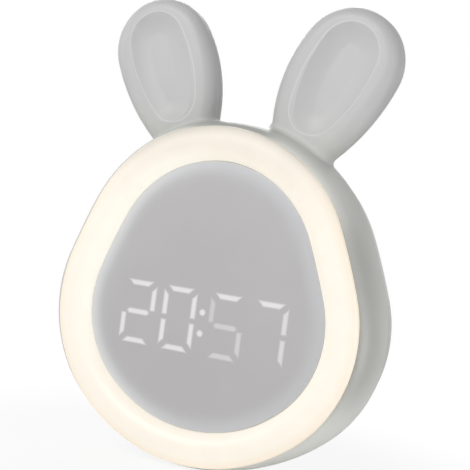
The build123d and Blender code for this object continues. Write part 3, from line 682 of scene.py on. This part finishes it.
def ring_paint():
    """Milky diffuser, lit from behind: dimmer and warmer at its outer edge and over its top."""
    paint = Paint("ring_milky_glow")
    colours = finishes()
    distance = edge_distance(paint)
    x, _, z = paint.place()
    inner = paint.ramp(distance, RING_INNER_OUT)
    outer = paint.ramp(distance, RING_OUTER_OUT)
    up = z - face_middle()
    high = paint.ramp(up, RING_TOP_UP)
    left = paint.fall(x, RING_LEFT_X) * paint.ramp(up, RING_LEFT_UP)
    inner = inner.larger(paint.fall(up, RING_FOOT_UP))
    glow = paint.mix(outer, colours.ring, colours.ring_edge)
    glow = paint.mix(high, glow, colours.ring_top)
    glow = paint.mix(outer * paint.ramp(up, RING_CROWN_UP), glow, colours.ring_crown)
    glow = paint.mix(inner, paint.mix(left, colours.ring_inner, colours.ring_left), glow)
    cloud = paint.noise(RING_CLOUD, detail=2.0)
    paint.bump(cloud, strength=0.05, distance=0.1 * MM)
    dull, milky = (0.37, 0.355, 0.33), (0.39, 0.375, 0.35)
    return paint.set(
        Base_Color=paint.mix(paint.ramp(cloud, CLOUD), dull, milky),
        Roughness=0.4,
        Emission_Color=glow,
        Emission_Strength=0.8,
    )


def stroke_distance(letter, across, up):
    """Distance outside a digit's stroke: a is on top, b to f go clockwise, g is in the middle."""
    sizes = face()
    half_width = sizes.digit_width / 2
    half_height = sizes.digit_height / 2
    width = sizes.stroke
    slant = 1 / math.sqrt(2)
    if letter == "g":
        flat = abs(up) - width / 2
        ends = (abs(across) + abs(up) - (half_width - width * 1.2)) * slant
        return flat.larger(ends)
    if letter in "ad":
        height = up if letter == "a" else -up
        flat = abs(height - (half_height - width / 2)) - width / 2
        ends = (abs(across) - height + (half_height - half_width + sizes.corner_cut)) * slant
        return flat.larger(ends)
    side = across if letter in "bc" else -across
    height = up if letter in "bf" else -up
    flat = abs(side - (half_width - width / 2)) - width / 2
    top = (height - side + (half_width - half_height + sizes.corner_cut)) * slant
    foot = sizes.stroke_break - height
    return flat.larger(top).larger(foot)


def digit_light(paint):
    """Light of the digits and the colon on the window, from none at 0."""
    sizes = face()
    x, _, z = paint.place()
    low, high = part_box("display_module")
    middle = (low + high) / 2
    up = z - middle.z
    blur = (-sizes.stroke_blur, sizes.stroke_blur)
    total = None
    for place, strokes in LIT.items():
        gap = math.copysign(sizes.colon_gap / 2, place)
        across = x - (middle.x + place * sizes.digit_pitch + gap)
        for letter, level in strokes.items():
            lit = paint.fall(stroke_distance(letter, across, up), blur, level)
            total = lit if total is None else total + lit
    across = x - middle.x
    rise = abs(up) - sizes.colon_rise
    dots = paint.maths("SQRT", across * across + rise * rise) - sizes.colon_dot
    return total + paint.fall(dots, blur, COLON_LIGHT)


def window_paint():
    """Grey translucent window: the digits shine through it, and the ring's light on its edge is
    painted in as lighter bands, stronger on the left.
    """
    paint = Paint("window_grey")
    colours = finishes()
    distance = edge_distance(paint)
    x, _, _ = paint.place()
    tone = clouded(paint, colours.window, WINDOW_CLOUD, spread=0.015)
    # Painted light from the ring along the panel's edge, stronger on the left
    tone = paint.mix(paint.ramp(distance, WINDOW_EDGE_OUT), tone, colours.window_ring_light)
    left = paint.fall(x, WINDOW_LEFT_X) * paint.ramp(distance, WINDOW_LEFT_OUT)
    light = digit_light(paint)
    grain = paint.noise(size=0.5 * MM, detail=1.0)
    paint.bump(grain, strength=0.02, distance=0.02 * MM)
    return paint.set(
        Base_Color=paint.mix(left, tone, colours.window_left_ring_light),
        Roughness=0.32,
        Emission_Color=paint.mix(light, (0, 0, 0), colours.digits),
        Emission_Strength=1.0,
    )


def plain_paint(name, colour, roughness, metallic=0.0):
    """Finish with a little cloud in its colour and a fine grain."""
    paint = Paint(name)
    tone = clouded(paint, colour, SMALL_CLOUD, spread=0.06, detail=3.0)
    grain = paint.noise(SMALL_CLOUD * 0.12, detail=2.0)
    paint.bump(grain, strength=0.05, distance=0.05 * MM)
    rough = paint.ramp(grain, GRAIN, start=roughness * 0.9, end=min(1.0, roughness * 1.15))
    return paint.set(Base_Color=tone, Roughness=rough, Metallic=metallic)


def board_paint(name, colour):
    """Solder mask with copper tracks that show through as lighter lines."""
    paint = Paint(name)
    _, _, z = paint.place()
    rows = abs(paint.maths("PINGPONG", z, TRACK_PITCH) - TRACK_PITCH / 2)
    gate = paint.ramp(paint.noise(size=7 * MM, detail=1.0), (0.48, 0.52))
    tracks = paint.fall(rows, mm(0.1, 0.3)) * gate
    tone = paint.mix(tracks, colour, shade(colour, TRACK_TONE))
    return paint.set(Base_Color=tone, Roughness=0.38, Coat_Weight=0.3)


def cell_paint():
    """Printed jacket with a copper band near one end, and bare metal at both ends."""
    paint = Paint("cell_jacket")
    low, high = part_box("battery_cells")
    x, _, _ = paint.place()
    along = x - (low.x + high.x) / 2
    half = (high.x - low.x) / 2
    bare = abs(along).above(half - CELL_BARE)
    band = along.above(half - CELL_BAND)
    jacket, copper, metal = (0.10, 0.12, 0.13), (0.62, 0.33, 0.16), (0.66, 0.65, 0.63)
    tone = paint.mix(band, clouded(paint, jacket, 5 * MM, spread=0.05), copper)
    grain = paint.noise(size=0.6 * MM, detail=2.0)
    return paint.set(
        Base_Color=paint.mix(bare, tone, metal),
        Roughness=paint.ramp(grain, GRAIN, start=0.24, end=0.32),
        Metallic=bare,
    )


def ribbon_paint():
    """Flat cable of thin wires side by side, with painted shade in the grooves between them."""
    paint = Paint("ribbon_grey")
    low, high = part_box("ribbon_cable")
    x, _, z = paint.place()
    wires = x if high.x - low.x > high.z - low.z else z
    groove = paint.maths("PINGPONG", wires, WIRE_PITCH) / WIRE_PITCH
    paint.bump(groove, strength=0.6, distance=0.3 * MM)
    tone = clouded(paint, (0.48, 0.48, 0.49), 3 * MM, spread=0.05)
    # Painted shade in the grooves between the wires
    valley_shade = (0.22, 0.22, 0.23)
    return paint.set(
        Base_Color=paint.mix(paint.fall(groove, (0.0, 0.25)), tone, valley_shade), Roughness=0.5
    )


def dress(obj, paint):
    """Give an object one finish all over."""
    obj.data.materials.clear()
    obj.data.materials.append(paint.material)


# ---------------------------------------------------------------- pieces
def only(obj):
    """Select one object and make it active."""
    bpy.ops.object.select_all(action="DESELECT")
    obj.select_set(True)
    bpy.context.view_layer.objects.active = obj


def edit(obj, *steps):
    """Run steps on the whole mesh of an object, in edit mode."""
    only(obj)
    bpy.ops.object.mode_set(mode="EDIT")
    bpy.ops.mesh.select_all(action="SELECT")
    for step in steps:
        step()
    bpy.ops.object.mode_set(mode="OBJECT")


def weld():
    bpy.ops.mesh.remove_doubles(threshold=WELD)


def merged_copy(node):
    """A copy of a node's mesh with its loose triangles joined."""
    piece = bpy.data.objects.new(f"{node}_look", NODES[node].data.copy())
    bpy.context.scene.collection.objects.link(piece)
    only(piece)
    bpy.ops.mesh.customdata_custom_splitnormals_clear()
    edit(piece, weld)
    return piece


def stand_for(piece, node, paint, angle=SOFT_ANGLE):
    """Shade a piece, with flat faces kept flat, and let it stand for its node."""
    only(piece)
    bpy.ops.object.shade_smooth_by_angle(angle=angle)
    edit(
        piece,
        lambda: bpy.ops.mesh.select_mode(type="FACE"),
        lambda: bpy.ops.mesh.select_all(action="DESELECT"),
    )
    for facet in piece.data.polygons:
        facet.select = max(abs(part) for part in facet.normal) > FLAT
    bpy.ops.object.mode_set(mode="EDIT")
    bpy.ops.mesh.mod_weighted_strength(set=True, face_strength="STRONG")
    bpy.ops.object.mode_set(mode="OBJECT")
    weighted = piece.modifiers.new("flats", "WEIGHTED_NORMAL")
    weighted.keep_sharp = True
    weighted.use_face_influence = True
    weighted.mode = "CORNER_ANGLE"
    bpy.ops.object.modifier_apply(modifier=weighted.name)
    dress(piece, paint)
    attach(piece, NODES[node]["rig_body"])
    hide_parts(node)
    return piece


def smooth_copy(node, paint, angle=SOFT_ANGLE):
    """A merged, smooth-shaded copy that stands for a node."""
    return stand_for(merged_copy(node), node, paint, angle)


def corners(obj):
    """Lowest and highest corner of a mesh that lies at the origin."""
    points = [vertex.co for vertex in obj.data.vertices]
    low = Vector([min(point[axis] for point in points) for axis in range(3)])
    high = Vector([max(point[axis] for point in points) for axis in range(3)])
    return low, high


def bar(place, size):
    """A straight cutter, placed in its mesh."""
    bpy.ops.mesh.primitive_cube_add(size=1.0)
    cutter = bpy.context.object
    edit(
        cutter,
        lambda: bpy.ops.transform.resize(value=size),
        lambda: bpy.ops.transform.translate(value=place),
    )
    return cutter


def cut(piece, cutter):
    """Take the cutter's shape out of the piece."""
    only(piece)
    difference = piece.modifiers.new("recess", "BOOLEAN")
    difference.object = cutter
    difference.solver = "EXACT"
    bpy.ops.object.modifier_apply(modifier=difference.name)
    bpy.data.objects.remove(cutter)


def cross_screws(node, facing, length):
    """Screws with a cross recess in each head; facing is -1 or 1 along Y."""
    screws = merged_copy(node)
    edit(screws, lambda: bpy.ops.mesh.separate(type="LOOSE"))
    parts = list(bpy.context.selected_objects)
    for part in parts:
        low, high = corners(part)
        middle = (low + high) / 2
        face_y = high.y if facing > 0 else low.y
        width, reach = length * CROSS_WIDTH, length * CROSS_REACH
        for size in ((length, reach, width), (width, reach, length)):
            cut(part, bar((middle.x, face_y, middle.z), size))
    bpy.ops.object.select_all(action="DESELECT")
    for part in parts:
        part.select_set(True)
    bpy.context.view_layer.objects.active = screws
    bpy.ops.object.join()
    zinc = plain_paint(f"{node}_zinc", (0.55, 0.55, 0.56), 0.35, 1.0)
    return stand_for(screws, node, zinc, CRISP_ANGLE)


class CLOCK_OT_housings(bpy.types.Operator):
    """Finish the two housings and the battery door"""

    bl_idname = "clock.housings"
    bl_label = "Housings"

    def execute(self, context):
        smooth_copy("front_housing", front_paint())
        paint = shell_paint()
        for node in ("rear_housing", "battery_door"):
            smooth_copy(node, paint)
        return {"FINISHED"}


class CLOCK_OT_ring(bpy.types.Operator):
    """Finish the lit ring"""

    bl_idname = "clock.ring"
    bl_label = "Lit ring"

    def execute(self, context):
        smooth_copy("light_ring", ring_paint())
        return {"FINISHED"}


class CLOCK_OT_window(bpy.types.Operator):
    """Finish the display window with its digits"""

    bl_idname = "clock.window"
    bl_label = "Display window"

    def execute(self, context):
        smooth_copy("display_panel", window_paint())
        return {"FINISHED"}


class CLOCK_OT_inner(bpy.types.Operator):
    """Finish the pieces inside the housings"""

    bl_idname = "clock.inner"
    bl_label = "Inner pieces"

    def execute(self, context):
        board = board_paint("board_green", (0.03, 0.16, 0.06))
        # Each plain finish has its name, colour, roughness and, for a metal, how metallic it is.
        plans = {
            "display_tray": plain_paint("tray_white", (0.80, 0.80, 0.78), 0.5),
            "light_board": board,
            "main_board": board,
            "control_board": board,
            "ring_leds": plain_paint("lamp_amber", (0.90, 0.75, 0.40), 0.25),
            "display_module": plain_paint("module_black", (0.03, 0.03, 0.035), 0.4),
            "lit_segments": plain_paint("stroke_lit", (0.85, 0.85, 0.84), 0.3),
            "dark_segments": plain_paint("stroke_dark", (0.40, 0.40, 0.40), 0.3),
            "main_chip": plain_paint("chip_black", (0.03, 0.03, 0.03), 0.45),
            "capacitors": plain_paint("can_aluminium", (0.62, 0.63, 0.66), 0.3, 1.0),
            "ribbon_connectors": plain_paint("connector_black", (0.05, 0.05, 0.05), 0.4),
            "ribbon_cable": ribbon_paint(),
            "key_switches": plain_paint("switch_black", (0.05, 0.05, 0.05), 0.4),
            "slide_switch": plain_paint("switch_steel", (0.55, 0.55, 0.55), 0.35, 1.0),
            "usb_socket": plain_paint("socket_steel", (0.60, 0.60, 0.60), 0.3, 1.0),
            "speaker": plain_paint("basket_steel", (0.35, 0.35, 0.36), 0.4, 1.0),
            "speaker_cone": plain_paint("cone_paper", (0.04, 0.04, 0.04), 0.8),
            "battery_cells": cell_paint(),
            "battery_contacts": plain_paint("contact_nickel", (0.70, 0.68, 0.64), 0.3, 1.0),
            "battery_springs": plain_paint("spring_nickel", (0.70, 0.68, 0.64), 0.25, 1.0),
            "rubber_feet": plain_paint("foot_rubber", (0.50, 0.50, 0.49), 0.8),
        }
        for node, paint in plans.items():
            dress(NODES[node], paint)
        return {"FINISHED"}


class CLOCK_OT_screws(bpy.types.Operator):
    """Give the screws their cross recesses"""

    bl_idname = "clock.screws"
    bl_label = "Screws"

    def execute(self, context):
        for node, facing in (("tray_screws", 1), ("board_screws", 1), ("control_screws", -1)):
            cross_screws(node, facing, SMALL_CROSS)
        cross_screws("rear_screws", 1, LARGE_CROSS)
        return {"FINISHED"}


def bar_mark(across, up):
    """Distance outside a short printed bar."""
    return (abs(across) - MARK_LENGTH / 2).larger(abs(up) - MARK_HALF)


def key_tone(paint):
    """Colour of the keys and the slider, a little darker than the housings."""
    return clouded(paint, shade(finishes().shell, KEY_TONE), KEY_CLOUD, spread=0.02)


def key_paint(node):
    """Satin key; the two setting keys carry a printed minus and plus."""
    paint = Paint(f"{node}_satin")
    tone = key_tone(paint)
    if node in ("minus_key", "plus_key"):
        low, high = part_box(node)
        middle = (low + high) / 2
        x, _, z = paint.place()
        across, up = x - middle.x, z - middle.z
        mark = bar_mark(across, up)
        if node == "plus_key":
            mark = mark.smaller(bar_mark(up, across))
        ink = (0.10, 0.10, 0.10)
        tone = paint.mix(paint.fall(mark, (-MARK_BLUR, MARK_BLUR)), tone, ink)
    return satin(paint, tone)


def grooved_slider():
    """The power slider with grooves across its knob, for the fingertip."""
    piece = merged_copy("power_slider")
    low, high = corners(piece)
    middle = (low + high) / 2
    for step in (-1.5, -0.5, 0.5, 1.5):
        place = (middle.x + step * GROOVE_PITCH, high.y, middle.z)
        cut(piece, bar(place, (GROOVE_WIDTH, GROOVE_DEPTH * 2, high.z - low.z)))
    paint = Paint("slider_satin")
    satin(paint, key_tone(paint))
    stand_for(piece, "power_slider", paint, CRISP_ANGLE)


class CLOCK_OT_keys(bpy.types.Operator):
    """Finish the keys and the slider"""

    bl_idname = "clock.keys"
    bl_label = "Keys and slider"

    def execute(self, context):
        for node in ("alarm_key", "time_key", "minus_key", "plus_key", "light_key"):
            smooth_copy(node, key_paint(node), CRISP_ANGLE)
        grooved_slider()
        return {"FINISHED"}


class CLOCK_OT_stage(bpy.types.Operator):
    """Set the floor, the light and the camera"""

    bl_idname = "clock.stage"
    bl_label = "Stage"

    def execute(self, context):
        make_floor()
        make_world()
        make_lamps()
        make_camera()
        context.scene.view_settings.view_transform = "Standard"
        return {"FINISHED"}


def make_floor():
    """Pale floor that fades to plain white away from the clock."""
    bpy.ops.mesh.primitive_plane_add(size=6.0, location=(0, 0, 0))
    floor = bpy.context.object
    floor.name = "studio_floor"
    paint = Paint("floor_white")
    paint.set(Base_Color=(0.86, 0.86, 0.86), Roughness=1.0, Specular_IOR_Level=0.0)
    x, y, _ = paint.place()
    away = paint.maths("SQRT", x * x + y * y)
    white = paint.add("ShaderNodeEmission", None, {"Color": (1.0, 1.0, 1.0), "Strength": 1.0})
    path = paint.add("ShaderNodeLightPath")
    seen = paint.signal(path, "Is Camera Ray") * paint.ramp(away, FLOOR_FADE, start=0.88)
    mix = paint.add("ShaderNodeMixShader", None, {"Fac": seen})
    paint.tree.links.new(paint.shader.outputs["BSDF"], mix.inputs[1])
    paint.tree.links.new(white.outputs["Emission"], mix.inputs[2])
    paint.tree.links.new(mix.outputs["Shader"], paint.output.inputs["Surface"])
    floor.data.materials.append(paint.material)


def make_world():
    """Even sky that lights the clock softly and is plain white where it is seen or mirrored."""
    world = bpy.data.worlds.new("studio_sky")
    bpy.context.scene.world = world
    world.use_nodes = True
    tree = world.node_tree
    tree.nodes.clear()
    output = tree.nodes.new("ShaderNodeOutputWorld")
    background = tree.nodes.new("ShaderNodeBackground")
    background.inputs["Color"].default_value = (1, 1, 1, 1)
    path = tree.nodes.new("ShaderNodeLightPath")
    seen = None
    for name in ("Is Camera Ray", "Is Glossy Ray", "Is Transmission Ray"):
        if seen is None:
            seen = path.outputs[name]
            continue
        larger = tree.nodes.new("ShaderNodeMath")
        larger.operation = "MAXIMUM"
        tree.links.new(seen, larger.inputs[0])
        tree.links.new(path.outputs[name], larger.inputs[1])
        seen = larger.outputs[0]
    level = tree.nodes.new("ShaderNodeMapRange")
    level.inputs["To Min"].default_value = studio().sky
    level.inputs["To Max"].default_value = 1.0
    tree.links.new(seen, level.inputs["Value"])
    tree.links.new(level.outputs[0], background.inputs["Strength"])
    tree.links.new(background.outputs[0], output.inputs["Surface"])


def make_lamps():
    """Round soft lamps that the camera doesn't see."""
    for name, (place, aim, width, power) in LAMPS.items():
        bpy.ops.object.light_add(type="AREA", location=place)
        lamp = bpy.context.object
        lamp.name = name
        lamp.data.shape = "DISK"
        lamp.data.size = width
        lamp.data.energy = getattr(studio(), power)
        lamp.visible_camera = False
        direction = Vector(aim) - Vector(place)
        lamp.rotation_euler = direction.to_track_quat("-Z", "Y").to_euler()


def make_camera():
    """Camera that looks at its aim from the azimuth, elevation, roll and distance set."""
    settings = studio()
    bpy.ops.object.camera_add()
    camera = bpy.context.object
    camera.name = "studio_camera"
    turn = (
        Matrix.Rotation(settings.azimuth, 4, "Z")
        @ Matrix.Rotation(math.pi / 2 - settings.elevation, 4, "X")
        @ Matrix.Rotation(settings.roll, 4, "Z")
    )
    back = Matrix.Translation((0, 0, settings.distance))
    camera.matrix_world = Matrix.Translation(settings.aim) @ turn @ back
    camera.data.lens = settings.lens
    camera.data.sensor_width = 36.0
    camera.data.clip_start = 0.01
    bpy.context.scene.camera = camera


class CLOCK_PT_panel(bpy.types.Panel):
    """Sidebar panel with the clock's settings and steps"""

    bl_idname = "CLOCK_PT_panel"
    bl_label = "Kids Alarm Clock"
    bl_space_type = "VIEW_3D"
    bl_region_type = "UI"
    bl_category = "Alarm Clock"

    def draw(self, context):
        for step in STEPS:
            self.layout.operator(step.bl_idname)
        for name in SETTINGS:
            group = getattr(context.scene, name)
            box = self.layout.box()
            for key in group.__annotations__:
                box.prop(group, key)


SETTINGS = {
    "clock_face": FaceSizes,
    "clock_dish": DishSizes,
    "clock_finishes": Finishes,
    "clock_studio": Studio,
}
STEPS = (
    CLOCK_OT_stage, CLOCK_OT_housings, CLOCK_OT_ring, CLOCK_OT_window, CLOCK_OT_inner,
    CLOCK_OT_screws, CLOCK_OT_keys,
)
CLASSES = (*SETTINGS.values(), *STEPS, CLOCK_PT_panel)


def register():
    for item in CLASSES:
        bpy.utils.register_class(item)
    for name, group in SETTINGS.items():
        setattr(bpy.types.Scene, name, bpy.props.PointerProperty(type=group))


def unregister():
    for name in SETTINGS:
        delattr(bpy.types.Scene, name)
    for item in reversed(CLASSES):
        bpy.utils.unregister_class(item)


def main():
    register()
    bpy.ops.object.select_all(action="DESELECT")
    for step in STEPS:
        group, name = step.bl_idname.split(".")
        getattr(getattr(bpy.ops, group), name)()


if __name__ == "__main__":
    main()
